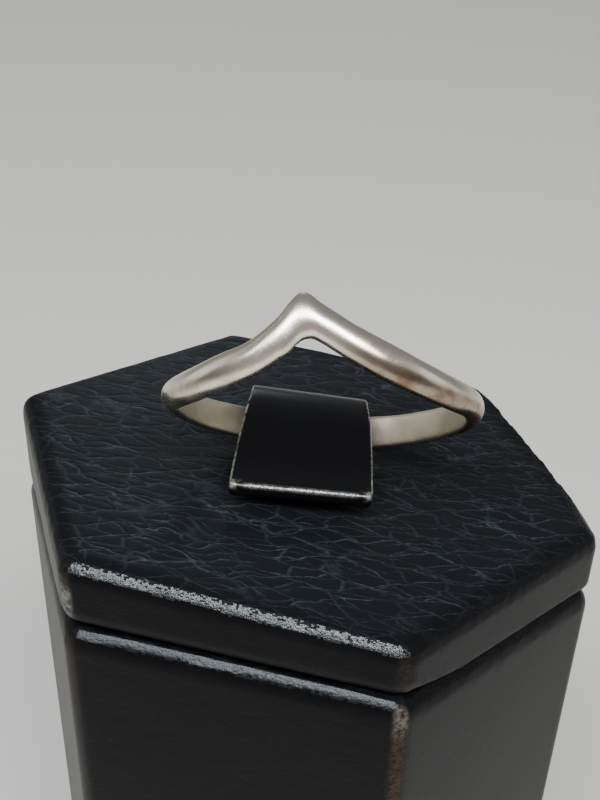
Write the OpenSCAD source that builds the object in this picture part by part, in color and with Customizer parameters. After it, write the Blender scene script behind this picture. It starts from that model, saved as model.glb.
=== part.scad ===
// Plain wishbone ring held by the strip clip of a hexagonal display stand.
// Millimetres. +Z is up, the stand's foot is at Z = 0 and its axis is the Z axis. The front is -Y:
// one flat face of the stand looks that way, and so do the clip's tongue and the ring's peak.

/* [Ring] */
// Inside diameter of the ring
inner_diameter = 17.5; // [16:0.1:19]
// Thickness of the band at its roundest
band_thickness = 1.15; // [1:0.05:1.5]
// Angle between the ring's plane and the cap's top
ring_lean = 38.2; // [34:0.1:42]
// Turn of the ring's lean away from the stand's front
ring_turn = 19.6; // [15:0.1:25]
// Turn of the peak round the ring's own axis
peak_turn = -19.2; // [-30:0.1:0]
// Place of the ring's middle on the cap, to the right
ring_x = 1.3; // [1:0.05:2]
// Place of the ring's middle on the cap, to the back
ring_y = -5.05; // [-6:0.05:-5]

/* [Clip] */
// Width of the strip at its foot and bend
clip_width = 7.9; // [6:0.1:9]
// Width of the strip at its free end
tongue_width = 9.0; // [8:0.1:10]
// Turn of the strip away from the stand's front
clip_turn = 10.6; // [5:0.1:15]
// Sideways tilt of the strip, right side up
clip_tilt = 1.2; // [0:0.1:3]
// Angle by which the free end is out of square
tongue_skew = 4.2; // [0:0.1:5]
// Shift of the strip's middle line to the right
clip_shift = -0.1; // [-1:0.05:1]

/* [Stand] */
// Height of the stand along its axis
stand_height = 60; // [40:1:90]
// Width of the cap from corner to corner
cap_across = 40.6; // [38:0.2:60]
// Thickness of the cap at its middle, measured straight down
cap_thickness = 6.0; // [5.5:0.1:8]
// Slope of the cap's top
cap_slope = 12.0; // [8:0.1:14]
// Direction in which the cap's top climbs
cap_climb = 246; // [235:1:260]
// Slope of the pillar's top, which the cap's underside follows
pillar_slope = 14.9; // [10:0.1:16]
// Direction in which the pillar's top climbs
pillar_climb = 262; // [245:1:265]
// How far the pillar's corners stand out beyond the cap's
pillar_outset = 0.15; // [-1:0.05:0.5]
// Roundness of the cap's upper edges
cap_edge = 1.0; // [0.5:0.1:1.2]
// Roundness of the cap's lower edges
cap_under_edge = 0.4; // [0.2:0.1:1]
// Roundness of the cap's upright corners
cap_corner = 1.5; // [1.3:0.1:3]
// Roundness of the pillar's shoulder
pillar_edge = 1.2; // [0.5:0.1:1.3]
// Roundness of the pillar's upright corners
pillar_corner = 1.5; // [1.4:0.1:3]

/* [Fit] */
// Gap kept between pieces that rest on each other
rest_gap = 0.1; // [0.05:0.01:0.2]
// Gap round the strip's foot in its slot
slot_gap = 0.12; // [0.08:0.01:0.2]
// Depth of the strip's foot in the cap
foot_depth = 3; // [2:0.1:3.2]

/* [Hidden] */

silver = "#b9b4a8";
leatherette = "#1b1b1f";

inner_r = inner_diameter / 2;
cap_r = cap_across / 2;
pillar_r = cap_r + pillar_outset;
corners = [0:60:300];

// The band, a row for each station from the peak round to the back of the shank. Each arm has its
// own rise of the band's middle above the ring's plane, because the left arm curves more.
LEFT = 1;
RIGHT = 2;
WIDTH = 3;
band = [
    // angle, left rise, right rise, width
    [0, 3.79, 3.79, 2.05],
    [8, 2.34, 3.01, 1.93],
    [18, 1.23, 2.11, 1.96],
    [30, 0.62, 1.30, 2.09],
    [45, 0.15, 0.61, 2.05],
    [62, 0.07, 0.24, 1.96],
    [85, 0.30, 0.24, 1.84],
    [120, 0.28, 0.26, 2.09],
    [180, 0.00, 0.00, 2.20]
];
// The angle over which the peak is rounded, on its top and in the notch below it
peak_round = 3.3;
notch_round = 4.3;
// An arm's slope is taken over a short step, and evened out over the peak
slope_step = 0.5;
slope_round = 6;
// The band's sides are upright up to this height above its flat inside
side_height = 0.3;
// The flat inside and its rounded edge, as shares of the band's half width
flat_share = 0.8;
edge_share = 0.93;
edge_out = 0.1;

// The clip's middle line, a row for each bend, from the foot over the shank to the free end
FORWARD = 0;
HEIGHT = 1;
THICK = 2;
strip = [
    // forward, height, thickness
    [-4.10, -foot_depth, 0.80],
    [-4.10, 0, 0.80],
    [-4.10, 1.40, 0.80],
    [-3.60, 2.65, 0.80],
    [-2.60, 3.35, 0.80],
    [-1.30, 3.65, 0.80],
    [0.60, 3.45, 0.85],
    [3.00, 2.70, 0.90],
    [5.50, 1.85, 1.00],
    [7.35, 1.50, 1.05]
];
strip_steps = 5;
// The strip starts to widen here, and its free end has corners this round
tongue_start = -1.3;
tongue_corner = 0.6;
// Taller than the strip ever climbs
strip_reach = 10;

// Smooth curve through a table's rows, read at x in column 0
function row_below(table, x, i = 0) =
    i >= len(table) - 2 || table[i + 1][0] > x ? i : row_below(table, x, i + 1);
function row_slope(table, column, i) =
    i == len(table) - 1 ? 0 :
    let (a = table[max(i - 1, 0)], b = table[i + 1])
    (b[column] - a[column]) / (b[0] - a[0]);
function hermite(a, b, slope_a, slope_b, t) =
    (2 * pow(t, 3) - 3 * pow(t, 2) + 1) * a + (pow(t, 3) - 2 * pow(t, 2) + t) * slope_a
    + (3 * pow(t, 2) - 2 * pow(t, 3)) * b + (pow(t, 3) - pow(t, 2)) * slope_b;
function read_at(table, column, x) =
    let (i = row_below(table, x), step = table[i + 1][0] - table[i][0])
    hermite(table[i][column], table[i + 1][column],
        row_slope(table, column, i) * step, row_slope(table, column, i + 1) * step,
        (x - table[i][0]) / step);

// The band's edges. A rounded angle keeps the two arms' slopes and rounds only where they meet.
function rounded(angle, round) =
    abs(angle) < round ? pow(angle, 2) / (2 * round) + round / 2 : abs(angle);
function right_share(angle, round) =
    let (t = min(max((angle + round) / (2 * round), 0), 1)) pow(t, 2) * (3 - 2 * t);
function rise(angle, round) =
    let (a = rounded(angle, round), share = right_share(angle, round))
    (1 - share) * read_at(band, LEFT, a) + share * read_at(band, RIGHT, a);
function arm_slope(angle) =
    let (a = max(abs(angle) - slope_step, 0), b = min(abs(angle) + slope_step, 180),
        share = right_share(angle, slope_round),
        left = read_at(band, LEFT, b) - read_at(band, LEFT, a),
        right = read_at(band, RIGHT, b) - read_at(band, RIGHT, a),
        run = (b - a) * PI / 180 * (inner_r + band_thickness / 2))
    ((1 - share) * left + share * right) / run;
function half_height(angle) =
    read_at(band, WIDTH, abs(angle)) / 2 * sqrt(1 + pow(arm_slope(angle), 2));
function top_edge(angle) = rise(angle, peak_round) + half_height(angle);
function low_edge(angle) = rise(angle, notch_round) - half_height(angle);

// The band's section: distance out from the flat inside, and height from -1 to 1 across the width
crown = band_thickness - side_height;
section = concat(
    [for (a = [0:15:180]) [side_height + crown * sin(a), cos(a)]],
    [[edge_out, -edge_share], [0, -flat_share], [0, flat_share], [edge_out, edge_share]]
);
stations = concat([for (a = [-180:3:-15]) a], [for (a = [-12:1:12]) a], [for (a = [15:3:177]) a]);

function band_point(angle, out, height) =
    let (top = top_edge(angle), low = low_edge(angle), r = inner_r + out)
    [r * sin(angle), -r * cos(angle), (top + low) / 2 + height * (top - low) / 2];
band_points = [for (a = stations) for (s = section) band_point(a, s[0], s[1])];

// Turns the band's own points as the ring leans on the cap, to find how high its middle sits
function tipped_height(p) =
    let (y = p.x * sin(peak_turn) + p.y * cos(peak_turn)) p.z * cos(ring_lean) - y * sin(ring_lean);
ring_height = rest_gap - min([for (p = band_points) tipped_height(p)]);

// Places its children on the cap's slanted top, at the stand's axis
module on_cap() {
    translate([0, 0, stand_height])
        rotate([0, 0, cap_climb])
            rotate([0, -cap_slope, 0])
                rotate([0, 0, -cap_climb])
                    children();
}

// Places its children on the clip's middle line, with X across it and -Y along the tongue
module along_clip() {
    on_cap()
        rotate([0, 0, clip_turn])
            translate([clip_shift, 0, 0])
                rotate([0, -clip_tilt, 0])
                    children();
}

// A closed tube through rings of points, side by side and back to the first
module closed_tube(points, around) {
    count = len(points) / around;
    faces = [for (i = [0:count - 1]) for (j = [0:around - 1])
        let (a = i * around + j, b = i * around + (j + 1) % around,
            c = (i + 1) % count * around + (j + 1) % around, d = (i + 1) % count * around + j)
        each [[a, c, b], [a, d, c]]];
    polyhedron(points = points, faces = faces);
}

module ring_band() {
    color(silver)
        on_cap()
            translate([ring_x, ring_y, ring_height])
                rotate([0, 0, ring_turn])
                    rotate([-ring_lean, 0, 0])
                        rotate([0, 0, peak_turn])
                            closed_tube(band_points, len(section));
}

// The strip's middle line and its two faces, smoothed between the table's rows
function strip_at(i, t, column) =
    let (n = len(strip) - 1, a = strip[max(i - 1, 0)][column], b = strip[i][column],
        c = strip[i + 1][column], d = strip[min(i + 2, n)][column])
    hermite(b, c, (c - a) / 2, (d - b) / 2, t);
strip_line = concat(
    [for (i = [0:len(strip) - 2]) for (k = [0:strip_steps - 1])
        [for (column = [FORWARD:THICK]) strip_at(i, k / strip_steps, column)]],
    [strip[len(strip) - 1]]
);
function strip_normal(i) =
    let (a = strip_line[max(i - 1, 0)], b = strip_line[min(i + 1, len(strip_line) - 1)],
        along = [b[FORWARD] - a[FORWARD], b[HEIGHT] - a[HEIGHT]])
    [-along.y, along.x] / norm(along);
function strip_face(i, side) =
    [strip_line[i][FORWARD], strip_line[i][HEIGHT]]
    + side * strip_line[i][THICK] / 2 * strip_normal(i);
strip_outline = concat(
    [for (i = [0:len(strip_line) - 1]) strip_face(i, 1)],
    [for (i = [len(strip_line) - 1:-1:0]) strip_face(i, -1)]
);

// The strip seen from above: it widens towards the free end, whose corners are round
foot_back = strip[0][FORWARD] - 1;
tongue_end = strip[len(strip) - 1][FORWARD];
function half_width(forward) =
    let (t = min(max((forward - tongue_start) / (tongue_end - tongue_start), 0), 1))
    (clip_width + (tongue_width - clip_width) * sin(90 * t)) / 2;
function plan_side(side) = concat(
    [[side * half_width(foot_back), -foot_back]],
    [for (f = [tongue_start:1:tongue_end - 1]) [side * half_width(f), -f]],
    [for (a = [0:15:90]) [side * (half_width(tongue_end) - tongue_corner * (1 - cos(a))),
        tongue_corner * (1 - sin(a)) - tongue_end]]
);
function reversed(list) = [for (i = [len(list) - 1:-1:0]) list[i]];
function skewed(p) = [p.x, p.y + p.x * tan(tongue_skew) * max(-p.y, 0) / tongue_end];

module ring_clip() {
    plan = [for (p = concat(plan_side(1), reversed(plan_side(-1)))) skewed(p)];
    color(leatherette)
        along_clip()
            intersection() {
                rotate([90, 0, -90])
                    linear_extrude(height = tongue_width + 1, center = true)
                        polygon(strip_outline);
                translate([0, 0, -foot_depth - 1])
                    linear_extrude(height = foot_depth + strip_reach)
                        polygon(plan);
            }
}

module clip_slot() {
    foot = strip[0];
    along_clip()
        translate([0, -foot[FORWARD], 0])
            cube([clip_width + 2 * slot_gap, foot[THICK] + 2 * slot_gap,
                2 * (foot_depth + slot_gap)], center = true);
}

// A hexagon with round corners, moved in from its sides by inset
function hexagon(across_r, round, inset) =
    let (reach = across_r - round / cos(30))
    [for (a = corners) for (b = [-30:12:30])
        [reach * cos(a) + (round - inset) * cos(a + b), reach * sin(a) + (round - inset) * sin(a + b)]];
function climbing(outline, height, slope, climb) =
    [for (p = outline) [p.x, p.y, height + tan(slope) * (p.x * cos(climb) + p.y * sin(climb))]];
function on_top(outline, height) = climbing(outline, height, cap_slope, cap_climb);
function on_pillar(outline, height) = climbing(outline, height, pillar_slope, pillar_climb);

// A closed block through a stack of outlines, lowest first, each with the same number of points
module stacked(levels) {
    n = len(levels[0]);
    rings = [for (level = levels) each level];
    middle_low = [0, 0, levels[0][0].z + levels[0][n / 2].z] / 2;
    top = levels[len(levels) - 1];
    middle_top = [0, 0, top[0].z + top[n / 2].z] / 2;
    last = len(rings) - n;
    sides = [for (i = [0:len(levels) - 2]) for (j = [0:n - 1])
        let (a = i * n + j, b = i * n + (j + 1) % n) each [[a, a + n, b], [b, a + n, b + n]]];
    ends = [for (j = [0:n - 1]) each [
        [len(rings), j, (j + 1) % n],
        [len(rings) + 1, last + (j + 1) % n, last + j]]];
    polyhedron(points = concat(rings, [middle_low, middle_top]), faces = concat(sides, ends));
}

module stand_cap() {
    under = stand_height - cap_thickness;
    low = [for (a = [0:30:90]) on_pillar(
        hexagon(cap_r, cap_corner, cap_under_edge * (1 - sin(a))),
        under + cap_under_edge * (1 - cos(a)))];
    high = [for (a = [0:18:90]) on_top(
        hexagon(cap_r, cap_corner, cap_edge * (1 - cos(a))),
        stand_height - cap_edge * (1 - sin(a)))];
    color(leatherette)
        difference() {
            stacked(concat(low, high));
            clip_slot();
        }
}

module stand_pillar() {
    top = stand_height - cap_thickness - rest_gap;
    foot = [for (p = hexagon(pillar_r, pillar_corner, 0)) [p.x, p.y, 0]];
    shoulder = [for (a = [0:22.5:90]) on_pillar(
        hexagon(pillar_r, pillar_corner, pillar_edge * (1 - cos(a))),
        top - pillar_edge * (1 - sin(a)))];
    color(leatherette)
        stacked(concat([foot], shoulder));
}

ring_band();
ring_clip();
stand_cap();
stand_pillar();
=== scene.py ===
"""A plain silver wishbone ring, held by a strip clip on a small hexagonal display stand.

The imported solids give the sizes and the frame: metres, +Z up, the stand's foot at Z = 0, the front -Y.
Sizes below are in millimetres, as a maker would give them, and are turned to metres where they are used.
"""

import logging
import math
from collections.abc import Callable, Iterator, Sequence
from contextlib import contextmanager
from dataclasses import dataclass, field
from enum import Enum
from functools import partial
from typing import ClassVar

import bmesh
import bpy
import numpy as np
from bpy.types import Material, NodeSocket, NodeTree, Object
from mathutils import Matrix, Vector


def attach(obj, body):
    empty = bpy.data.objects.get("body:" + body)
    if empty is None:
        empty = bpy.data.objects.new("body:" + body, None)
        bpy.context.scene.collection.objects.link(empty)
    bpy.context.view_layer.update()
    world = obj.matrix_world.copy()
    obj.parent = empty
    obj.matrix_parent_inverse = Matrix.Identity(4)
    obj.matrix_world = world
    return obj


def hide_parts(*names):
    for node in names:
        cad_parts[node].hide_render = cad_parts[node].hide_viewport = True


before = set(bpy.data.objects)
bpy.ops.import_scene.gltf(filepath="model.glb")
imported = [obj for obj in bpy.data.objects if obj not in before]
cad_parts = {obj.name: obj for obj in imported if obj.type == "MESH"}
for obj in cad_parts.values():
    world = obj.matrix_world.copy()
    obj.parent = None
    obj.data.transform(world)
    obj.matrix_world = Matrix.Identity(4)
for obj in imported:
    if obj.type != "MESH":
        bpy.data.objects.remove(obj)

LOG = logging.getLogger("wishbone_ring")
MM = 0.001
BODY = "root"
# Numbers that belong together, such as the ends of a range or a place
Pair = tuple[float, float]
Triple = tuple[float, float, float]


class Slot(Enum):
    """The names of two material slots."""

    SILVER = "silver"
    LEATHERETTE = "leatherette"


class Kind(Enum):
    """What is picked in edit mode."""

    VERTS = "VERT"
    EDGES = "EDGE"
    FACES = "FACE"


# Edit-mode helpers


def select_only(obj: Object) -> None:
    """Deselects everything but one object, and makes it the active one.

    Args:
        obj: The object to select.
    """
    bpy.ops.object.select_all(action="DESELECT")
    obj.select_set(True)
    bpy.context.view_layer.objects.active = obj


@contextmanager
def editing(
    obj: Object, kind: Kind = Kind.VERTS, test: Callable[..., bool] = lambda element: False
) -> Iterator[None]:
    """Opens an object in edit mode and closes it afterwards.

    Args:
        obj: The mesh object to edit.
        kind: What is picked.
        test: Says of one element whether it is picked. Without a test nothing is.

    Yields:
        Nothing; the body of the with statement runs in edit mode.
    """
    select_only(obj)
    bpy.ops.object.mode_set(mode="EDIT")
    bpy.ops.mesh.select_mode(type=kind.value)
    pick(obj, kind, test)
    yield
    bpy.ops.object.mode_set(mode="OBJECT")


def pick(obj: Object, kind: Kind, test: Callable[..., bool]) -> None:
    """Selects the elements of a mesh in edit mode that pass a test, and no others.

    Args:
        obj: The object in edit mode.
        kind: Vertices, edges or faces.
        test: Says of one element whether it is wanted.
    """
    bpy.ops.mesh.select_all(action="DESELECT")
    mesh = bmesh.from_edit_mesh(obj.data)
    for element in getattr(mesh, kind.name.lower()):
        if test(element):
            element.select_set(True)
    bmesh.update_edit_mesh(obj.data)


def read_rows(elements: Sequence, name: str) -> np.ndarray:
    """Reads one vector of each of a mesh's elements.

    Args:
        elements: The mesh's vertices or faces.
        name: The vector's name.

    Returns:
        A row for each element.
    """
    flat = np.zeros(len(elements) * 3, np.float32)
    elements.foreach_get(name, flat)
    return flat.reshape(-1, 3).astype(float)


def points_of(obj: Object) -> np.ndarray:
    """Reads a mesh's vertices, in metres."""
    return read_rows(obj.data.vertices, "co")


def put_points(obj: Object, points: np.ndarray) -> None:
    """Writes a mesh's vertices back, in metres."""
    obj.data.vertices.foreach_set("co", points.astype(np.float32).ravel())
    obj.data.update()


def paint(obj: Object, name: str, values: np.ndarray) -> None:
    """Stores a number or a vector for each vertex under a name that a material can read.

    Args:
        obj: The mesh object.
        name: The attribute's name.
        values: One number or one row for each vertex.
    """
    kind, part = ("FLOAT", "value") if values.ndim == 1 else ("FLOAT_VECTOR", "vector")
    layer = obj.data.attributes.new(name, kind, "POINT")
    layer.data.foreach_set(part, values.astype(np.float32).ravel())


def apply_modifier(obj: Object, kind: str, **settings: object) -> None:
    """Adds a modifier with its settings and applies it.

    Args:
        obj: The mesh object.
        kind: Blender's name for the modifier.
        **settings: The modifier's own settings.
    """
    select_only(obj)
    modifier = obj.modifiers.new(kind.title(), kind)
    for name, value in settings.items():
        setattr(modifier, name, value)
    bpy.ops.object.modifier_apply(modifier=modifier.name)


def settle(obj: Object, place: Matrix | None = None) -> None:
    """Puts an object in place and moves that place into its mesh.

    Args:
        obj: The object.
        place: Where it goes, or None to keep it where it is.
    """
    if place is not None:
        obj.matrix_world = place
    select_only(obj)
    bpy.ops.object.transform_apply(location=True, rotation=True, scale=True)


def tidy_mesh(obj: Object, distance: float = 0.002) -> None:
    """Merges a mesh's doubles and turns its faces outwards.

    Args:
        obj: The mesh object.
        distance: How close two points are to be one, in millimetres.
    """
    with editing(obj):
        bpy.ops.mesh.select_all(action="SELECT")
        bpy.ops.mesh.remove_doubles(threshold=distance * MM)
        bpy.ops.mesh.normals_make_consistent(inside=False)


def finish_piece(obj: Object, materials: Sequence[Material], node: str, smooth: float) -> None:
    """Dresses a finished mesh and hangs it on the frame.

    Args:
        obj: The mesh object, at the origin.
        materials: Its materials, the one for most of it first.
        node: The solid that the piece stands for.
        smooth: Edges flatter than this many degrees are shaded smooth.
    """
    select_only(obj)
    bpy.ops.object.shade_smooth_by_angle(angle=math.radians(smooth))
    for material in materials:
        obj.data.materials.append(material)
    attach(obj, BODY)
    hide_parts(node)
    LOG.info("%s: %d vertices, %d faces", obj.name, len(obj.data.vertices), len(obj.data.polygons))


def give_second_finish(obj: Object, wanted: np.ndarray) -> None:
    """Gives some faces of a finished piece its second finish.

    Args:
        obj: The piece, with both its materials.
        wanted: True for each face that gets the second one.
    """
    with editing(obj, Kind.FACES, lambda face: wanted[face.index]):
        obj.active_material_index = 1
        bpy.ops.object.material_slot_assign()


# Material helpers


def colour(code: str) -> tuple[float, float, float, float]:
    """Turns an sRGB hex colour to the linear values that a shader takes.

    Args:
        code: Six hex digits after a hash.

    Returns:
        Red, green, blue and an alpha of one.
    """
    parts = [int(code[i : i + 2], 16) / 255 for i in (1, 3, 5)]
    low, gain, power = 0.04045, 1.055, 2.4
    r, g, b = (c / 12.92 if c <= low else ((c + gain - 1) / gain) ** power for c in parts)
    return r, g, b, 1.0


def add_node(
    tree: NodeTree,
    kind: str,
    links: dict | None = None,
    sockets: dict | None = None,
    out: int | str = 0,
    **settings: object,
) -> NodeSocket | None:
    """Adds a node with its settings and its links.

    Args:
        tree: A material's tree, or a modifier's.
        kind: The node's type, without its prefix for a shader node.
        links: Input name or number to the output socket that feeds it.
        sockets: Input name or number to its own value.
        out: The name or number of the output that is wanted.
        **settings: The node's own properties.

    Returns:
        That output, or None from a node without outputs.
    """
    node = tree.nodes.new(kind if kind.startswith(("Geometry", "NodeGroup")) else "ShaderNode" + kind)
    for name, value in settings.items():
        setattr(node, name, value)
    for name, value in (sockets or {}).items():
        node.inputs[name].default_value = value
    for name, source in (links or {}).items():
        tree.links.new(source, node.inputs[name])
    return node.outputs[out] if len(node.outputs) else None


def new_material(name: str) -> tuple[Material, NodeTree]:
    """Makes an empty node material.

    Args:
        name: The real material's name.

    Returns:
        The material and its node tree.
    """
    material = bpy.data.materials.new(name)
    material.use_nodes = True
    material.node_tree.nodes.clear()
    return material, material.node_tree


def close_material(tree: NodeTree, shader: NodeSocket) -> None:
    """Links a shader to the material's surface."""
    add_node(tree, "OutputMaterial", {"Surface": shader})


# A colour mix's two colour inputs and its colour output
MIX_A, MIX_B, MIX_COLOUR = 6, 7, 2


@dataclass(frozen=True)
class SilverFinish:
    """Sterling silver, soldered, filed and hand polished, then worn.

    To the eye it is a warm white metal: broad soft highlights broken by fine rubbing marks along the
    band and small pits, with a duller, paler inside where the wire was only sanded.
    """

    name: str = "sterling_silver_worn_polish"
    bright: str = "#EFE8D8"
    # Warm brown for the arms' lower half: partly real tarnishing, partly a painted warm reflection and
    # painted shade over the floor's pale reflection
    tarnish_and_reflection: str = "#7D6553"
    dull: str = "#C9BFA9"
    inside: str = "#D6CDB9"
    polish: float = 0.24
    wear: float = 0.2
    sanded: float = 0.2
    patch_mm: float = 1.6
    pit_mm: float = 0.16
    rub_mm: float = 0.09

    def build(self) -> Material:
        """Builds the material.

        Returns:
            The material. It reads the piece's own "inside", "low" and "band" attributes.
        """
        material, tree = new_material(self.name)
        add = partial(add_node, tree)
        inside, low = (add("Attribute", out="Fac", attribute_name=name) for name in ("inside", "low"))
        band = add("Attribute", out="Vector", attribute_name="band")
        place = add("TexCoord", out="Object")
        patches = {"Scale": 1 / (self.patch_mm * MM), "Detail": 4.0, "Roughness": 0.6}
        patched = add("TexNoise", {"Vector": place}, patches)
        patch = add("MapRange", {"Value": patched}, {"From Min": 0.42, "From Max": 0.66})
        cells = {"Scale": 1 / (self.pit_mm * MM), "Randomness": 1.0}
        pitted = add("TexVoronoi", {"Vector": place}, cells)
        pits = {"From Min": 0.08, "From Max": 0.3, "To Min": 1.0, "To Max": 0.0}
        pit = add("MapRange", {"Value": pitted}, pits)
        # The marks are a few times longer along the band than across it
        along = add("Mapping", {"Vector": band}, {"Scale": (0.12, 1.0, 1.0)})
        marks = {"Scale": 1 / (self.rub_mm * MM), "Detail": 3.0, "Roughness": 0.7}
        rubs = add("TexNoise", {"Vector": along}, marks)
        worn = add("Math", {0: patch, 1: rubs}, operation="MULTIPLY")
        # The arms' lower half is painted warm brown in patches: partly tarnishing, partly a painted
        # reflection
        left_on = add("MapRange", {"Value": patch}, {"To Min": 0.75, "To Max": 1.0})
        tarnish_and_reflection_share = add("Math", {0: low, 1: left_on}, operation="MULTIPLY")
        metal = {MIX_A: colour(self.bright), MIX_B: colour(self.dull)}
        base = add("Mix", {0: worn}, metal, MIX_COLOUR, data_type="RGBA")
        for share, code in ((tarnish_and_reflection_share, self.tarnish_and_reflection), (inside, self.inside)):
            base = add("Mix", {0: share, MIX_A: base}, {MIX_B: colour(code)}, MIX_COLOUR, data_type="RGBA")
        shine = add("MapRange", {"Value": worn}, {"To Min": self.polish, "To Max": self.polish + self.wear})
        rough = add("Math", {0: inside, 2: shine}, {1: self.sanded}, operation="MULTIPLY_ADD")
        fine = add("Bump", {"Height": rubs}, {"Strength": 0.1, "Distance": 0.01 * MM})
        dents = {"Strength": 0.25, "Distance": 0.012 * MM}
        normal = add("Bump", {"Height": pit, "Normal": fine}, dents, invert=True)
        surface = {"Base Color": base, "Roughness": rough, "Normal": normal}
        close_material(tree, add("BsdfPrincipled", surface, {"Metallic": 1.0}))
        return material


@dataclass(frozen=True)
class Grain:
    """The embossed grain: lens-shaped pebbles in a crossing network of creases, drawn at its real size.

    The same network of nodes presses it into the mesh and draws it in the material.
    """

    cell_mm: Triple = (3.1, 1.35, 1.8)
    cell_share: float = 0.42
    # Each set of long creases: its turn from left-right, and the space between two creases
    long_sets: tuple[Pair, ...] = ((-19.0, 1.25), (16.0, 1.5), (-3.0, 2.4))
    bend_mm: float = 0.8
    wander_mm: float = 1.4
    patch_mm: float = 3.6

    def crease(self, tree: NodeTree, place: NodeSocket, width: float) -> NodeSocket:
        """Draws the network of creases in a node tree.

        Args:
            tree: A material's tree, or a modifier's.
            place: The socket with the place on the piece, in metres.
            width: Half the width of a crease, in millimetres.

        Returns:
            A socket that is 1 in the middle of a crease and 0 on a pebble.
        """
        add = partial(add_node, tree)
        sized = add("VectorMath", {0: place}, {3: 1 / MM}, operation="SCALE")
        drift = add("TexNoise", {"Vector": sized}, {"Scale": 0.4, "Detail": 2.0, "Roughness": 0.6}, "Color")
        centred = add("VectorMath", {0: drift}, {1: (0.5, 0.5, 0.5)}, operation="SUBTRACT")
        shift = add("VectorMath", {0: centred}, {3: self.bend_mm}, operation="SCALE")
        bent = add("VectorMath", {0: sized, 1: shift}, operation="ADD")
        unit = add("VectorMath", {0: bent}, {1: self.cell_mm}, operation="DIVIDE")
        cells = {"Scale": 1.0, "Randomness": 0.95}
        edge = add("TexVoronoi", {"Vector": unit}, cells, feature="DISTANCE_TO_EDGE")
        lines = self.line(tree, edge, width / self.cell_mm[1], self.cell_share)
        for number, (turn, space) in enumerate(self.long_sets):
            angle = {"Angle": math.radians(turn)}
            turned = add("VectorRotate", {"Vector": bent}, angle, rotation_type="Z_AXIS")
            stretch = {1: (0.16, 0.34, 0.34), 2: (7.0 * number, 3.0, 1.0)}
            slow = add("VectorMath", {0: turned}, stretch, operation="MULTIPLY_ADD")
            wave = add("TexNoise", {"Vector": slow}, {"Scale": 1.0, "Detail": 2.0})
            wide = add("Math", {0: wave}, {1: self.wander_mm}, operation="MULTIPLY")
            axes = add("SeparateXYZ", {0: turned}).node.outputs
            over = add("Math", {0: axes[1], 1: axes[2]}, operation="ADD")
            rows = add("Math", {0: over, 2: wide}, {1: 1 / space}, operation="MULTIPLY_ADD")
            away = add("Math", {0: rows}, {1: 0.5}, operation="PINGPONG")
            drawn = self.line(tree, away, width / space, share=1.0)
            gap = add("TexNoise", {"Vector": slow}, {"Scale": 2.2, "Detail": 3.0, "Roughness": 0.65})
            kept = add("MapRange", {"Value": gap}, {"From Min": 0.38, "From Max": 0.56})
            broken = add("Math", {0: drawn, 1: kept}, operation="MULTIPLY")
            lines = add("Math", {0: lines, 1: broken}, operation="MAXIMUM")
        patches = {"Scale": 1 / self.patch_mm, "Detail": 3.0, "Roughness": 0.6}
        patch = add("TexNoise", {"Vector": sized}, patches)
        strength = add("MapRange", {"Value": patch}, {"From Min": 0.32, "From Max": 0.62, "To Min": 0.3})
        return add("Math", {0: lines, 1: strength}, operation="MULTIPLY")

    def line(self, tree: NodeTree, away: NodeSocket, width: float, share: float) -> NodeSocket:
        """Turns a distance from a crease's middle, in its own units, into how deep a place is."""
        slope = {"From Min": 0.0, "From Max": width, "To Min": share, "To Max": 0.0}
        return add_node(tree, "MapRange", {"Value": away}, slope, interpolation_type="SMOOTHSTEP")

    def press(self, obj: Object, depth_mm: float, width: float) -> None:
        """Presses the grain into a mesh, as deep as its "pressed" attribute allows.

        Args:
            obj: The piece, with a fine mesh.
            depth_mm: How deep the creases are.
            width: Half the width of a crease, in millimetres.
        """
        tree = bpy.data.node_groups.new("pressed_grain", "GeometryNodeTree")
        for way in ("INPUT", "OUTPUT"):
            tree.interface.new_socket("Geometry", in_out=way, socket_type="NodeSocketGeometry")
        add = partial(add_node, tree)
        start = add("NodeGroupInput")
        place = add("GeometryNodeInputPosition")
        normal = add("GeometryNodeInputNormal")
        pressed = add("GeometryNodeInputNamedAttribute", None, {"Name": "pressed"}, data_type="FLOAT")
        lines = self.crease(tree, place, width)
        deep = add("Math", {0: lines, 1: pressed}, operation="MULTIPLY")
        metres = add("Math", {0: deep}, {1: -depth_mm * MM}, operation="MULTIPLY")
        shift = add("VectorMath", {0: normal, 3: metres}, operation="SCALE")
        moved = add("GeometryNodeSetPosition", {"Geometry": start, "Offset": shift})
        add("NodeGroupOutput", {0: moved})
        apply_modifier(obj, "NODES", node_group=tree)


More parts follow.
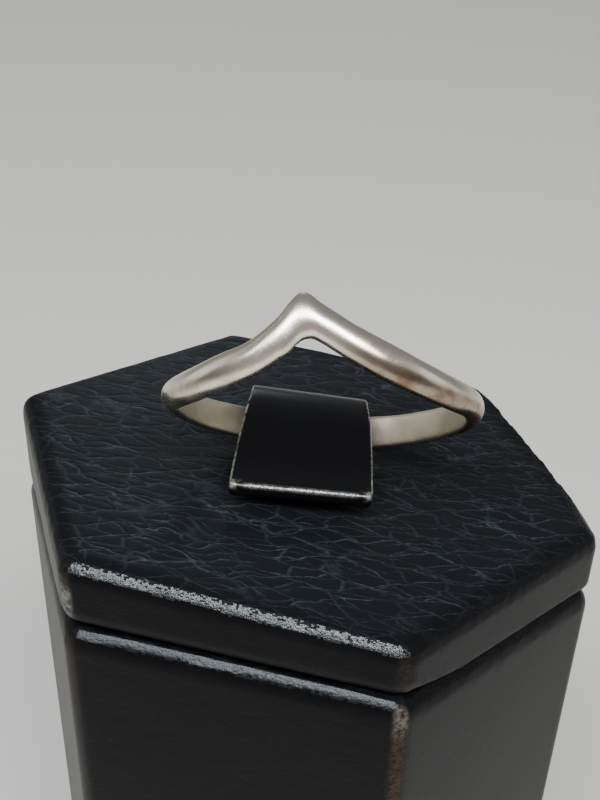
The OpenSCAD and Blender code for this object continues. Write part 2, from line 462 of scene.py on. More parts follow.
@dataclass(frozen=True)
class LeatheretteFinish:
    """Black leatherette: a coated cloth, embossed with a fine crossing grain.

    To the eye it is near black with a low sheen. The creases are painted a little lighter, and the top is
    painted lighter than the walls as a painted sheen. Rounded edges glitter where the fine grit catches the
    light, and worn corners turn brown; on the pillar's front-right corner that brown is partly a painted
    highlight.
    """

    name: str
    grain: Grain
    black: str = "#09090B"
    # Painted sheen: the top is painted this lighter grey, the walls stay near black
    painted_top_sheen: str = "#131517"
    crease: str = "#4E545C"
    # Brown of worn corners; on the pillar's front-right corner it is partly a painted highlight
    worn: str = "#382B23"
    # Pale backing cloth where edges are frayed; on the clip's lip and the pillar's front-right corner it is
    # partly a painted highlight
    cut: str = "#8C8A82"
    gloss: float = 0.36
    dusty: float = 0.2
    burnished: float = 0.1
    level: float = 0.06
    tint: str = "#FFFFFF"
    crease_share: float = 0.62
    mottle_mm: float = 0.35
    # The real grit is near 0.05 mm, drawn coarser so that it shows as the glitter on the rims
    grit_mm: float = 0.24
    grit_depth: float = 1.0

    def build(self) -> Material:
        """Builds the material.

        Returns:
            The material. It reads the piece's own "pressed", "rim", "wear" and "cut" attributes.
        """
        if self.name in bpy.data.materials:
            return bpy.data.materials[self.name]
        material, tree = new_material(self.name)
        add = partial(add_node, tree)
        pressed, wear, cut, rim = (
            add("Attribute", out="Fac", attribute_name=name) for name in ("pressed", "wear", "cut", "rim")
        )
        place = add("TexCoord", out="Object")
        fine = self.grain.crease(tree, place, width=0.075)
        soft = self.grain.crease(tree, place, width=0.2)
        spots = {"Scale": 1 / (self.mottle_mm * MM), "Detail": 4.0, "Roughness": 0.7}
        mottle = add("TexNoise", {"Vector": place}, spots)
        gaps = {"From Min": 0.3, "From Max": 0.62, "To Max": self.crease_share}
        broken = add("MapRange", {"Value": mottle}, gaps)
        drawn = add("Math", {0: fine, 1: pressed}, operation="MULTIPLY")
        shown = add("Math", {0: drawn, 1: broken}, operation="MULTIPLY")
        ragged = add("MapRange", {"Value": mottle}, {"From Min": 0.36, "From Max": 0.6})
        rubbed, threads_and_glint = (
            add("Math", {0: share, 1: ragged}, operation="MULTIPLY", use_clamp=True)
            for share in (wear, cut)
        )
        # Painted sheen: where the grain is pressed, mostly on the top, the black is mixed towards a lighter
        # grey than on the walls
        ground = {MIX_A: colour(self.black), MIX_B: colour(self.painted_top_sheen)}
        base = add("Mix", {0: pressed}, ground, MIX_COLOUR, data_type="RGBA")
        for share, code in ((shown, self.crease), (rubbed, self.worn), (threads_and_glint, self.cut)):
            base = add("Mix", {0: share, MIX_A: base}, {MIX_B: colour(code)}, MIX_COLOUR, data_type="RGBA")
        sheen = add("MapRange", {"Value": shown}, {"To Min": self.gloss, "To Max": self.gloss + self.dusty})
        eased = add("MapRange", {"Value": rim}, {"To Max": self.burnished})
        rough = add("Math", {0: sheen, 1: eased}, operation="SUBTRACT")
        grains = {"Scale": 1 / (self.grit_mm * MM), "Detail": 3.0, "Roughness": 0.7}
        grit = add("TexNoise", {"Vector": place}, grains)
        deep = add("MapRange", {"Value": rim}, {"To Min": self.grit_depth * 0.15, "To Max": self.grit_depth})
        gritty = add("Bump", {"Height": grit, "Strength": deep}, {"Distance": 0.085 * MM})
        creased = add("Math", {0: soft, 1: pressed}, operation="MULTIPLY")
        groove = {"Strength": 0.6, "Distance": 0.05 * MM}
        normal = add("Bump", {"Height": creased, "Normal": gritty}, groove, invert=True)
        surface = {"Base Color": base, "Roughness": rough, "Normal": normal}
        coat = {"Specular IOR Level": self.level, "Specular Tint": colour(self.tint)}
        close_material(tree, add("BsdfPrincipled", surface, coat))
        return material


# Curves and turns


def smooth_step(values: np.ndarray | float, low: float, high: float) -> np.ndarray | float:
    """Rises smoothly from 0 at low to 1 at high."""
    t = np.clip((values - low) / (high - low), 0, 1)
    return t * t * (3 - 2 * t)


def hill(values: np.ndarray, rise: Pair, fall: Pair) -> np.ndarray:
    """Rises smoothly from 0 to 1 over one range, and falls back to 0 over another."""
    return smooth_step(values, *rise) * (1 - smooth_step(values, *fall))


def bridge(t: float, start: float, end: float, leaving: float, arriving: float) -> float:
    """Runs smoothly from one value to another, with a given slope at either end.

    Args:
        t: How far along, from 0 to 1.
        start: The value at 0.
        end: The value at 1.
        leaving: The slope at 0.
        arriving: The slope at 1.

    Returns:
        The value at t.
    """
    return (
        (2 * t**3 - 3 * t**2 + 1) * start
        + (t**3 - 2 * t**2 + t) * leaving
        + (3 * t**2 - 2 * t**3) * end
        + (t**3 - t**2) * arriving
    )


def turned_by(angle: float, axis: str) -> Matrix:
    """Gives a turn by an angle, in degrees, about an axis."""
    return Matrix.Rotation(math.radians(angle), 4, axis)


# The shapes


@dataclass(frozen=True)
class Table:
    """A smooth curve through a table's rows."""

    at: tuple[float, ...]
    values: tuple[float, ...]

    def read(self, x: float) -> float:
        """Reads the curve.

        Args:
            x: Where to read it, between the first row and the last.

        Returns:
            Its value there.
        """
        at, values = self.at, self.values
        last = len(at) - 1
        i = max(k for k in range(last) if k == 0 or at[k] <= x)
        step = at[i + 1] - at[i]
        leaving, arriving = (0.0 if k == last else self._slope(k) * step for k in (i, i + 1))
        return bridge((x - at[i]) / step, values[i], values[i + 1], leaving, arriving)

    def _slope(self, k: int) -> float:
        """Gives the curve's slope at row k, from the rows beside it."""
        low = max(k - 1, 0)
        return (self.values[k + 1] - self.values[low]) / (self.at[k + 1] - self.at[low])


@dataclass(frozen=True)
class Plane:
    """A slanted plane over the stand's axis."""

    height: float
    slope: float
    climb: float

    def rise(self, x: float, y: float) -> float:
        """Gives the plane's height above its height at the axis, in the units of x and y."""
        a = math.radians(self.climb)
        return math.tan(math.radians(self.slope)) * (x * math.cos(a) + y * math.sin(a))

    def turned(self) -> Matrix:
        """Gives the axes of the plane where it meets the stand's axis, in metres."""
        spin, back = turned_by(self.climb, "Z"), turned_by(-self.climb, "Z")
        return Matrix.Translation((0, 0, self.height * MM)) @ spin @ turned_by(-self.slope, "Y") @ back


CAP_TOP = Plane(60.0, 12.0, 246.0)
CAP_UNDER = Plane(54.0, 14.9, 262.0)
# How many degrees from the peak the rows of the ring's tables are
FROM_PEAK = (0, 8, 18, 30, 45, 62, 85, 120, 180)


@dataclass
class RingBand:
    """The ring: a D-section band, flat inside, pushed up into one V-shaped peak."""

    finish: SilverFinish
    inner_r: float = 8.75
    thickness: float = 1.15
    side: float = 0.3
    lean: float = 38.2
    turn: float = 19.6
    peak_turn: float = -19.2
    middle: Pair = (1.3, -5.05)
    gap: float = 0.13
    stations: int = 360
    left: Table = Table(FROM_PEAK, (3.79, 2.34, 1.23, 0.62, 0.15, 0.07, 0.30, 0.28, 0))
    right: Table = Table(FROM_PEAK, (3.79, 3.01, 2.11, 1.30, 0.61, 0.24, 0.24, 0.26, 0))
    width: Table = Table(FROM_PEAK, (2.05, 1.93, 1.96, 2.09, 2.05, 1.96, 1.84, 2.09, 2.20))
    peak_round: float = 3.3
    notch_round: float = 4.3
    lump_mm: float = 2.6
    lump_height: float = 0.045

    def section(self) -> list[Pair]:
        """Gives the band's section, flat inside and round outside.

        Returns:
            For each point its distance out of the flat inside, and its height from -1 to 1.
        """
        crown = self.thickness - self.side
        turns = [math.radians(a) for a in range(0, 181, 12)]
        outside = [(self.side + crown * math.sin(a), math.cos(a)) for a in turns]
        edge = [(0.1, 0.93), (0.02, 0.84), (0, 0.6), (0, 0.2)]
        return outside + [(out, -height) for out, height in edge] + edge[::-1]

    def arm(self, angle: float, rounding: float) -> float:
        """Gives the rise of the band's middle line, with the peak rounded.

        Args:
            angle: Degrees from the peak.
            rounding: How many degrees either side of the peak are rounded.

        Returns:
            The rise, in millimetres.
        """
        a = abs(angle)
        a = a * a / (2 * rounding) + rounding / 2 if a < rounding else a
        share = self.share(angle, rounding)
        return (1 - share) * self.left.read(a) + share * self.right.read(a)

    def share(self, angle: float, spread: float) -> float:
        """Gives how far the right arm has taken over from the left at an angle, from 0 to 1."""
        return float(smooth_step(angle, -spread, spread))

    def edges(self, angle: float) -> Pair:
        """Gives the heights of the band's edges.

        Args:
            angle: Degrees from the peak.

        Returns:
            The height of the lower edge and of the upper one, in millimetres.
        """
        low, high = max(abs(angle) - 0.5, 0), min(abs(angle) + 0.5, 180)
        share = self.share(angle, spread=6)
        climb = (1 - share) * (self.left.read(high) - self.left.read(low)) + share * (
            self.right.read(high) - self.right.read(low)
        )
        slope = climb / (math.radians(high - low) * (self.inner_r + self.thickness / 2))
        half = self.width.read(abs(angle)) / 2 * math.hypot(1, slope)
        return self.arm(angle, self.notch_round) - half, self.arm(angle, self.peak_round) + half

    def spin_band(self) -> Object:
        """Spins the section into a plain band round the Z axis.

        Returns:
            The band, one unit of height for each half width, with a ring of points for each degree.
        """
        section = self.section()
        bpy.ops.mesh.primitive_circle_add(vertices=len(section), radius=MM)
        band = bpy.context.object
        band.name = "silver_band"
        rows = [(0.0, (self.inner_r + out) * MM, height * MM) for out, height in section]
        put_points(band, np.array(rows))
        with editing(band):
            bpy.ops.mesh.select_all(action="SELECT")
            bpy.ops.mesh.spin(steps=self.stations, angle=2 * math.pi, center=(0, 0, 0), axis=(0, 0, 1))
        tidy_mesh(band, distance=0.001)
        return band

    def shape_arms(self, band: Object) -> None:
        """Raises and widens the band, station by station, into its two arms and the peak.

        Args:
            band: The plain band.
        """
        points = points_of(band)
        angles = np.degrees(np.arctan2(points[:, 0], -points[:, 1]))
        whole = np.round(angles).astype(int)
        whole[whole == -180] = 180
        with editing(band):
            for angle in np.unique(whole):
                low, high = self.edges(float(angle))
                ring = set(np.flatnonzero(whole == angle).tolist())
                pick(band, Kind.VERTS, lambda v, ring=ring: v.index in ring)
                bpy.ops.transform.resize(value=(1, 1, (high - low) / 2), center_override=(0, 0, 0))
                bpy.ops.transform.translate(value=(0, 0, (low + high) / 2 * MM))

    def mark(self, band: Object) -> None:
        """Stores the sanded inside, the arms' lower half that is painted warm brown (partly tarnishing,
        partly a painted reflection), and a place along and across the band.

        Args:
            band: The shaped band, still round the Z axis.
        """
        points = points_of(band)
        out = np.hypot(points[:, 0], points[:, 1]) / MM - self.inner_r
        paint(band, "inside", 1 - smooth_step(out, 0.03, 0.2))
        angle = np.arctan2(points[:, 0], -points[:, 1])
        heights = np.array([self.edges(a) for a in range(-180, 181)])
        degrees = np.degrees(angle)
        lower, upper = (np.interp(degrees, np.arange(-180, 181), heights[:, k]) for k in (0, 1))
        share = (points[:, 2] / MM - lower) / (upper - lower)
        # The lower half of the arms is painted warm brown: partly tarnishing, partly a painted warm
        # reflection that also darkens the floor's pale reflection there
        lower_half = 1 - smooth_step(share, 0.36, 0.54)
        right = hill(degrees, (8, 24), (105, 130))
        left = hill(-degrees, (14, 35), (80, 105)) * smooth_step(share, 0.12, 0.3)
        paint(band, "low", lower_half * (right + 0.65 * left))
        paint(band, "band", np.stack([angle * self.inner_r * MM, points[:, 2], out * MM], 1))

    def place(self, band: Object) -> None:
        """Leans the band on the cap, held under the clip.

        Args:
            band: The shaped band.
        """
        tip = turned_by(-self.lean, "X") @ turned_by(self.peak_turn, "Z")
        lowest = min((tip @ v.co).z for v in band.data.vertices)
        spot = Matrix.Translation((self.middle[0] * MM, self.middle[1] * MM, self.gap * MM - lowest))
        settle(band, CAP_TOP.turned() @ spot @ turned_by(self.turn, "Z") @ tip)

    def build(self) -> None:
        """Builds and dresses the ring."""
        band = self.spin_band()
        self.shape_arms(band)
        apply_modifier(band, "SUBSURF", levels=1, render_levels=1)
        self.mark(band)
        self.place(band)
        lumps = bpy.data.textures.new("hand_filed", "CLOUDS")
        lumps.noise_scale = self.lump_mm * MM
        strength = self.lump_height * MM
        apply_modifier(band, "DISPLACE", texture=lumps, strength=strength, texture_coords="GLOBAL")
        finish_piece(band, [self.finish.build()], "ring_band", smooth=60)


@dataclass
class StripClip:
    """The clip: a leatherette strip out of a slit in the cap, bent forwards over the ring's shank."""

    finish: LeatheretteFinish
    rubbed_finish: LeatheretteFinish
    width: float = 7.9
    end_width: float = 9.0
    turn: float = 10.6
    tilt: float = 1.2
    skew: float = 4.2
    shift: float = -0.1
    # Forward, height and thickness along the strip's middle line
    line: tuple[Triple, ...] = (
        (-4.1, -3.0, 0.8), (-4.1, 0.0, 0.8), (-4.1, 1.4, 0.8), (-3.6, 2.65, 0.8), (-2.6, 3.35, 0.8),
        (-1.3, 3.65, 0.8), (0.6, 3.45, 0.85), (3.0, 2.7, 0.9), (5.5, 1.85, 1.0), (7.35, 1.5, 1.05),
    )
    steps: int = 3
    corner: float = 0.4
    rim: float = 0.2
    lip: float = 0.42

    def middle(self) -> list[Triple]:
        """Gives the strip's middle line, smoothed between its rows.

        Returns:
            Forward, height and thickness at each step, in millimetres.
        """
        rows, made = self.line, []
        for i in range(len(rows) - 1):
            four = rows[max(i - 1, 0)], rows[i], rows[i + 1], rows[min(i + 2, len(rows) - 1)]
            for k in range(self.steps):
                t = k / self.steps
                made.append(tuple(bridge(t, b, c, (c - a) / 2, (d - b) / 2) for a, b, c, d in zip(*four)))
        return [*made, rows[-1]]

    def half_width(self, forward: float) -> float:
        """Gives half the strip's width, which grows from the line's sixth row to the free end.

        Args:
            forward: How far forward of the stand's axis, in millimetres.

        Returns:
            Half the width there, in millimetres.
        """
        start, end = self.line[5][0], self.line[-1][0]
        t = min(max((forward - start) / (end - start), 0), 1)
        return (self.width + (self.end_width - self.width) * math.sin(t * math.pi / 2)) / 2

    def draw_out(self) -> Object:
        """Extrudes the strip's back edge along its middle line.

        Returns:
            A single sheet of faces, in the clip's own axes.
        """
        line = self.middle()
        bpy.ops.mesh.primitive_plane_add(size=MM)
        strip = bpy.context.object
        strip.name = "clip_strip"
        half = self.half_width(line[0][0]) * MM
        with editing(strip, Kind.VERTS, lambda v: v.co.y > 0):
            bpy.ops.mesh.delete(type="VERT")
            bpy.ops.mesh.select_all(action="SELECT")
            bpy.ops.transform.resize(value=(2 * half / MM, 1, 1), center_override=(0, 0, 0))
            bpy.ops.transform.translate(value=(0, -line[0][0] * MM + MM / 2, line[0][1] * MM))
            for (f0, h0, _), (f1, h1, _) in zip(line, line[1:]):
                bpy.ops.mesh.extrude_region_move(
                    TRANSFORM_OT_translate={"value": (0, (f0 - f1) * MM, (h1 - h0) * MM)}
                )
                wider = self.half_width(f1) / self.half_width(f0)
                bpy.ops.transform.resize(value=(wider, 1, 1), center_override=(0, 0, 0))
        return strip

    def thicken(self, strip: Object) -> None:
        """Gives the sheet its thickness, and rounds its corners, its lip and its rims.

        Args:
            strip: The sheet.
        """
        end, half = self.line[-1][0] * MM, self.end_width / 2 * MM
        near = 0.01 * MM
        with editing(strip, Kind.VERTS, lambda v: v.co.y < -end + near and abs(v.co.x) > half - near):
            bpy.ops.mesh.bevel(offset=self.corner * MM, segments=4, affect="VERTICES")
        tongue = np.array(self.middle())[2 * self.steps :]
        full = float(tongue[-1][2])
        group = strip.vertex_groups.new(name="thickness")
        for number, forward in enumerate(-points_of(strip)[:, 1] / MM):
            group.add([number], float(np.interp(forward, tongue[:, 0], tongue[:, 2])) / full, "REPLACE")
        apply_modifier(
            strip, "SOLIDIFY", thickness=full * MM, offset=0.0, use_even_offset=True, vertex_group=group.name
        )
        tidy_mesh(strip)
        with editing(
            strip,
            Kind.EDGES,
            lambda e: all(v.co.y < -end + 0.5 * MM for v in e.verts)
            and abs(e.verts[0].co.x - e.verts[1].co.x) > 0.6 * MM
            and any(f.normal.y < -0.7 for f in e.link_faces),
        ):
            bpy.ops.mesh.bevel(offset=self.lip * MM, segments=4, affect="EDGES")
        limit = {"limit_method": "ANGLE", "angle_limit": math.radians(50), "use_clamp_overlap": False}
        apply_modifier(strip, "BEVEL", width=self.rim * MM, segments=3, **limit)
        apply_modifier(strip, "SUBSURF", levels=1, render_levels=1)

    def skew_end(self, strip: Object) -> None:
        """Skews the tongue, so that its free end isn't quite square.

        Args:
            strip: The thick strip.
        """
        points = points_of(strip)
        forward = np.clip(-points[:, 1], 0, None) / (self.line[-1][0] * MM)
        points[:, 1] += points[:, 0] * math.tan(math.radians(self.skew)) * forward
        put_points(strip, points)

    def mark(self, strip: Object) -> None:
        """Stores where the pale backing cloth shows: along the strip's raw sides and, frayed, at the free
        end; the rounded lip is painted a little paler as a painted highlight.

        Args:
            strip: The thick strip, not yet skewed.
        """
        points, normals = points_of(strip), read_rows(strip.data.vertices, "normal")
        end, half = self.line[-1][0] * MM, self.end_width / 2 * MM
        sides = smooth_step(np.abs(normals[:, 0]), 0.25, 0.6) * 0.9
        front = smooth_step(-points[:, 1], end - 0.5 * MM, end - 0.25 * MM)
        lip = front * hill(normals[:, 2], (0.15, 0.4), (0.8, 0.96))
        upper = smooth_step(points[:, 2], (self.line[-1][1] + 0.1) * MM, (self.line[-1][1] + 0.35) * MM)
        frayed = front * upper * smooth_step(np.abs(points[:, 0]), half - 0.6 * MM, half - 0.3 * MM)
        sides *= 1 - front * (1 - upper)
        # The lip gets a share of the pale colour too: a painted highlight along the free end's rounded top
        # edge
        paint(strip, "cut", np.clip(sides + 0.3 * lip + 0.6 * frayed, 0, 1))
        paint(strip, "rim", lip)
        paint(strip, "pressed", np.zeros(len(points)))
        paint(strip, "wear", np.zeros(len(points)))

    def lip_faces(self, strip: Object) -> np.ndarray:
        """Says which faces make the rounded lip at the free end.

        Args:
            strip: The thick strip, not yet skewed.

        Returns:
            True or False for each face.
        """
        up = read_rows(strip.data.polygons, "normal")[:, 2]
        forward = -read_rows(strip.data.polygons, "center")[:, 1] / MM
        return (forward > self.line[-1][0] - 0.5) & (up > 0.2) & (up < 0.93)

    def place(self) -> Matrix:
        """Gives the place of the clip's own axes on the cap."""
        across = Matrix.Translation((self.shift * MM, 0, 0))
        return CAP_TOP.turned() @ turned_by(self.turn, "Z") @ across @ turned_by(-self.tilt, "Y")

    def build(self) -> None:
        """Builds and dresses the clip."""
        strip = self.draw_out()
        with editing(strip, Kind.EDGES, lambda e: abs(e.verts[0].co.x - e.verts[1].co.x) > 0.5 * MM):
            bpy.ops.mesh.subdivide(number_cuts=9)
        self.thicken(strip)
        self.mark(strip)
        lip = self.lip_faces(strip)
        self.skew_end(strip)
        settle(strip, self.place())
        finishes = [self.finish.build(), self.rubbed_finish.build()]
        finish_piece(strip, finishes, "ring_clip", smooth=40)
        give_second_finish(strip, lip)


@dataclass
class CoveredBlock:
    """A six-sided block with rounded edges and slanted ends, wrapped in leatherette."""

    finish: LeatheretteFinish
    rubbed_finish: LeatheretteFinish
    name: str
    node: str
    radius: float
    top: Plane
    under: Plane
    top_edge: float
    under_edge: float
    cell: float
    crease_mm: float
    grained_top: bool
    # How worn each upright corner is, by its angle round the stand
    worn: tuple[Pair, ...]
    # A frayed spot on a corner: its angle, how frayed it is, and its lowest and highest point
    frayed: tuple[int, float, float, float]
    # The rim's rubbing starts and fades out between these heights of a face's normal
    rub_starts: Pair
    rub_fades: Pair
    rub_ragged: float
    # How far the upright corners are rounded
    corner: ClassVar[float] = 1.5
    # The rubbing also ends where a face turns this many degrees from the front
    rub_left: ClassVar[Pair] = (-20.0, -6.0)
    rub_right: ClassVar[Pair] = (25.0, 50.0)
    # Further down than this the rows of the mesh are twice as far apart
    fine_depth: ClassVar[float] = 12.0

    def block(self) -> Object:
        """Makes the block: a six-sided prism, its corners rounded, its ends slanted, its rims rounded.

        Returns:
            The block, with few faces.
        """
        low, high = self.under.height, self.top.height
        bpy.ops.mesh.primitive_cylinder_add(
            vertices=6,
            radius=self.radius * MM,
            depth=(high - low) * MM,
            location=(0, 0, (high + low) / 2 * MM),
            rotation=(0, 0, math.radians(30)),
        )
        block = bpy.context.object
        block.name = self.name
        settle(block)
        middle = (high + low) / 2 * MM
        rounding = self.corner * math.tan(math.radians(30)) * MM
        with editing(block, Kind.EDGES, lambda e: abs(e.verts[0].co.z - e.verts[1].co.z) > MM):
            bpy.ops.mesh.bevel(offset=rounding, segments=4, affect="EDGES")
        with editing(block):
            for number, point in enumerate(points_of(block)):
                plane = self.top if point[2] > middle else self.under
                pick(block, Kind.VERTS, lambda v, number=number: v.index == number)
                bpy.ops.transform.translate(value=(0, 0, plane.rise(point[0], point[1])))
        for up, size in ((True, self.top_edge), (False, self.under_edge)):
            with editing(
                block,
                Kind.EDGES,
                lambda e, up=up: all((v.co.z > middle) == up for v in e.verts)
                and any(abs(f.normal.z) > 0.8 for f in e.link_faces)
                and any(abs(f.normal.z) < 0.2 for f in e.link_faces),
            ):
                bpy.ops.mesh.bevel(offset=size * MM, segments=3, affect="EDGES", profile=0.5)
        return block

    def cut_fine(self, block: Object) -> None:
        """Cuts the outside into a fine mesh, with wider rows far below the top.

        The faces that lie nearly flat on an end that doesn't show are left uncut.

        Args:
            block: The block, with few faces.
        """
        reach = self.radius * MM
        step = self.cell * MM
        across = np.arange(-reach + step / 2, reach, step)
        row = 1.3 * step
        low, high = self.under.height * MM - reach / 4, self.top.height * MM + reach / 4
        fine_from = max(low, (self.top.height - self.fine_depth) * MM)
        upward = np.concatenate([np.arange(low, fine_from - row, 2 * row), np.arange(fine_from, high, row)])
        hide_top = not self.grained_top
        with editing(block, Kind.FACES, lambda f: f.normal.z < -0.8 or (f.normal.z > 0.8 and hide_top)):
            bpy.ops.mesh.hide()
            for normal, distances in zip(Matrix.Identity(3), (across, across, upward)):
                for distance in distances:
                    bpy.ops.mesh.select_all(action="SELECT")
                    bpy.ops.mesh.bisect(plane_co=normal * float(distance), plane_no=normal)
            bpy.ops.mesh.reveal()
        tidy_mesh(block, distance=0.01)
        apply_modifier(block, "SUBSURF", levels=2, render_levels=2)

    def mark(self, block: Object) -> None:
        """Stores where the grain is pressed in and the top is painted lighter as a sheen, where the rims
        shine, and where the corners are worn.

        Args:
            block: The block, with its fine mesh.
        """
        points, normals = points_of(block), read_rows(block.data.vertices, "normal")
        plan = points[:, :2] / MM
        angles = np.radians(np.arange(30, 390, 60))
        inset = self.radius * math.cos(math.radians(30)) - np.max(
            plan @ np.stack([np.cos(angles), np.sin(angles)]), axis=1
        )
        flat = smooth_step(np.abs(normals[:, 2]), 0.5, 0.95)
        wall = smooth_step(1 - np.abs(normals[:, 2]), 0.75, 0.95)
        # The pressed share also paints the top lighter than the walls: a painted sheen
        paint(block, "pressed", flat * (0.4 + 0.6 * smooth_step(inset, 0.6, 1.8)) + 0.1 * wall)
        polished = hill(normals[:, 2], (0.3, 0.5), (0.9, 0.99))
        frontal = smooth_step(-normals[:, 1] / np.hypot(normals[:, 0], normals[:, 1] + 1e-9), 0.6, 0.9)
        paint(block, "rim", polished * (0.35 + 0.65 * frontal))
        worn = np.zeros(len(points))
        for angle, share in self.worn:
            worn = np.maximum(worn, share * self.near_corner(points, angle))
        paint(block, "wear", worn)
        angle, share, low, high = self.frayed
        height = points[:, 2] / MM
        spot = hill(height, (low, (low + high) / 2), (high - 0.8, high))
        paint(block, "cut", share * spot * self.near_corner(points, angle))

    def near_corner(self, points: np.ndarray, angle: float) -> np.ndarray:
        """Says how near to an upright corner each point is.

        Args:
            points: A row for each point, in metres.
            angle: The corner's angle round the stand.

        Returns:
            From 0, away from it, to 1 on the corner, for each point.
        """
        a = math.radians(angle)
        corner = np.array([math.cos(a), math.sin(a)]) * (self.radius - 0.2) * MM
        away = np.hypot(*(points[:, :2] - corner).T) / MM
        return 1 - smooth_step(away, 0.2, 0.7)

    def build(self) -> None:
        """Builds and dresses the block."""
        block = self.block()
        self.cut_fine(block)
        self.mark(block)
        self.open_up(block)
        self.finish.grain.press(block, self.crease_mm, width=0.26)
        finishes = [self.finish.build(), self.rubbed_finish.build()]
        finish_piece(block, finishes, self.node, smooth=40)
        self.rub_rims(block)

    def rub_rims(self, block: Object) -> None:
        """Gives the front's upper rims the rubbed finish, which thins out towards the flat top.

        Args:
            block: The finished block, with both finishes.
        """
        x, y, z = read_rows(block.data.polygons, "normal").T
        share = hill(z, self.rub_starts, self.rub_fades)
        facing = np.degrees(np.arctan2(x, -y))
        share *= hill(facing, self.rub_left, self.rub_right)
        ragged = (np.random.default_rng(11).random(len(z)) - 0.5) * self.rub_ragged
        give_second_finish(block, share + ragged > 0.5)

    def open_up(self, block: Object) -> None:
        """Cuts the block's openings, of which a plain block has none."""


@dataclass
class StandCap(CoveredBlock):
    """The thick cap of the stand, with a slit for the clip."""

    name: str = "cap_slab"
    node: str = "stand_cap"
    radius: float = 20.3
    top: Plane = CAP_TOP
    under: Plane = CAP_UNDER
    top_edge: float = 1.3
    under_edge: float = 0.5
    cell: float = 0.64
    crease_mm: float = 0.028
    grained_top: bool = True
    worn: tuple[Pair, ...] = ((240, 0.4), (300, 0.35), (0, 0.3), (60, 0.3), (120, 0.3), (180, 0.3))
    frayed: tuple[int, float, float, float] = (240, 0.6, 59.0, 62.6)
    rub_starts: Pair = (0.38, 0.5)
    rub_fades: Pair = (0.68, 0.98)
    rub_ragged: float = 0.95
    clip: StripClip = field(kw_only=True)
    slot_gap: float = 0.12

    def open_up(self, block: Object) -> None:
        """Cuts the slit that the clip's strip comes out of.

        Args:
            block: The cap's block.
        """
        foot, gap = self.clip.line[0], self.slot_gap
        bpy.ops.mesh.primitive_cube_add(size=1)
        cutter = bpy.context.object
        size = (self.clip.width + 2 * gap, foot[2] + 2 * gap, 2 * (gap - foot[1]))
        slit = Matrix.Translation((0, -foot[0] * MM, 0)) @ Matrix.Diagonal((*(v * MM for v in size), 1))
        settle(cutter, self.clip.place() @ slit)
        apply_modifier(block, "BOOLEAN", object=cutter, operation="DIFFERENCE", solver="EXACT")
        bpy.data.objects.remove(cutter)


@dataclass
class StandPillar(CoveredBlock):
    """The pillar below the cap, of nearly the same plan."""

    name: str = "pillar_block"
    node: str = "stand_pillar"
    radius: float = 20.45
    top: Plane = Plane(CAP_UNDER.height - 0.1, CAP_UNDER.slope, CAP_UNDER.climb)
    under: Plane = Plane(0.0, 0.0, 0.0)
    top_edge: float = 1.5
    under_edge: float = 0.3
    cell: float = 0.95
    crease_mm: float = 0.03
    grained_top: bool = False
    # On the front-right corner (300 degrees) the strong brown and the pale frayed spot are partly wear,
    # partly a painted highlight for the light that rounded corner catches
    worn: tuple[Pair, ...] = ((240, 0.3), (300, 1.0), (0, 0.5), (60, 0.6), (120, 0.5), (180, 0.4))
    frayed: tuple[int, float, float, float] = (300, 0.3, 54.5, 58.6)
    rub_starts: Pair = (0.4, 0.76)
    rub_fades: Pair = (0.86, 0.97)
    rub_ragged: float = 0.85


# The studio


@dataclass(frozen=True)
class Softbox:
    """A soft lamp that shines at the stand's head."""

    name: str
    # Degrees from the front, growing to the right, and degrees above the horizon
    azimuth: float
    elevation: float
    # Its distance, and its width and height, in metres
    away: float
    size: Pair
    # How bright its face is, and its colour
    light: float
    tint: str


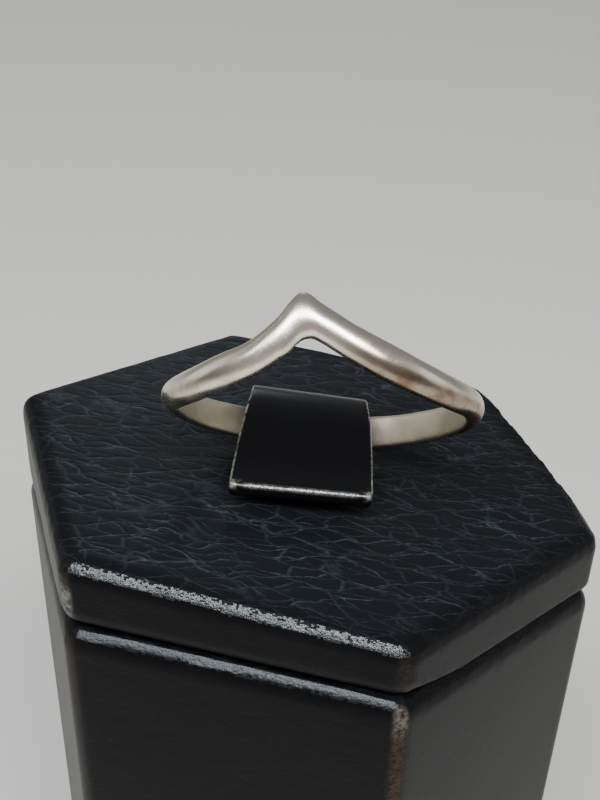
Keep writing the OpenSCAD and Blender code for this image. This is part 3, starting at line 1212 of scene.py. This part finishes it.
@dataclass
class Studio:
    """A pale floor, soft lights and the camera."""

    floor_colour: str = "#CFCDC8"
    floor_m: float = 12.0
    camera_mm: Triple = (14.436, -66.203, 115.791)
    camera_turn: Triple = (53.133, -1.406, 13.63)
    lens: float = 58.5
    sensor: float = 36.0
    world: str = "#9A9B9E"
    world_strength: float = 0.75
    centre: Triple = (0.0, 0.0, 0.06)
    softboxes: tuple[Softbox, ...] = (
        Softbox("key", 2, 60, 0.42, (0.4, 0.15), 17.0, "#F7FBFF"),
        Softbox("key_right", 46, 50, 0.45, (0.16, 0.16), 11.0, "#FFF8F0"),
        Softbox("key_left", -55, 45, 0.45, (0.12, 0.12), 5.0, "#F4F8F4"),
        Softbox("back", 195, 14, 0.6, (0.12, 0.12), 2.0, "#E6F2F4"),
        Softbox("warm_front", 0, 4, 0.5, (0.6, 0.16), 0.25, "#E9CDB8"),
        Softbox("left", -95, 12, 0.5, (0.3, 0.3), 0.8, "#EEF2EA"),
        Softbox("right", 105, 12, 0.5, (0.3, 0.3), 0.8, "#EEF2EA"),
    )

    def lay_floor(self) -> None:
        """Lays the floor."""
        bpy.ops.mesh.primitive_plane_add(size=self.floor_m)
        floor = bpy.context.object
        floor.name = "floor"
        material, tree = new_material("matt_card")
        card = {"Base Color": colour(self.floor_colour), "Roughness": 0.9}
        close_material(tree, add_node(tree, "BsdfPrincipled", None, card))
        floor.data.materials.append(material)

    def hang_light(self, box: Softbox) -> None:
        """Hangs one softbox.

        Args:
            box: The softbox.
        """
        data = bpy.data.lights.new(box.name, "AREA")
        data.shape, data.size, data.size_y = "RECTANGLE", *box.size
        data.energy = box.light * math.pi * box.size[0] * box.size[1]
        data.color = colour(box.tint)[:3]
        lamp = bpy.data.objects.new(box.name, data)
        bpy.context.scene.collection.objects.link(lamp)
        a, e = math.radians(box.azimuth), math.radians(box.elevation)
        way = Vector((math.sin(a) * math.cos(e), -math.cos(a) * math.cos(e), math.sin(e)))
        lamp.location = Vector(self.centre) + way * box.away
        lamp.rotation_euler = (-way).to_track_quat("-Z", "Y").to_euler()

    def set_camera(self) -> None:
        """Sets the camera at the photograph's angle."""
        data = bpy.data.cameras.new("camera")
        data.lens, data.sensor_width = self.lens, self.sensor
        data.clip_start, data.clip_end = MM, 10.0
        camera = bpy.data.objects.new("camera", data)
        bpy.context.scene.collection.objects.link(camera)
        camera.location = [v * MM for v in self.camera_mm]
        camera.rotation_euler = [math.radians(v) for v in self.camera_turn]
        bpy.context.scene.camera = camera

    def build(self) -> None:
        """Sets up the studio."""
        self.lay_floor()
        for box in self.softboxes:
            self.hang_light(box)
        world = bpy.data.worlds.new("studio")
        world.use_nodes = True
        background = world.node_tree.nodes["Background"]
        background.inputs["Color"].default_value = colour(self.world)
        background.inputs["Strength"].default_value = self.world_strength
        bpy.context.scene.world = world
        self.set_camera()


def main() -> None:
    logging.basicConfig(level=logging.INFO, format="%(message)s")
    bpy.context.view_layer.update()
    Studio().build()
    grain = Grain()
    grained = LeatheretteFinish("black_leatherette_pebble_grain", grain)
    smooth = LeatheretteFinish(
        "black_leatherette_smooth_strip", grain, gloss=0.24, level=0.2, grit_depth=0.25
    )
    # Edges that hands have rubbed shiny, so they catch the key light in a bright, cool, gritty line
    cool = "#EAF2F4"
    rim = LeatheretteFinish("black_leatherette_rubbed_rim", grain, level=1.0, tint=cool, grit_depth=1.1)
    shoulder = LeatheretteFinish(
        "black_leatherette_rubbed_shoulder", grain, gloss=0.42, level=0.42, tint=cool, grit_depth=0.5
    )
    lip = LeatheretteFinish(
        "black_leatherette_rubbed_lip", grain, gloss=0.24, level=1.0, tint=cool, grit_depth=0.4
    )
    RingBand(SilverFinish()).build()
    clip = StripClip(smooth, lip)
    clip.build()
    StandCap(grained, rim, clip=clip).build()
    StandPillar(grained, shoulder).build()


if __name__ == "__main__":
    main()
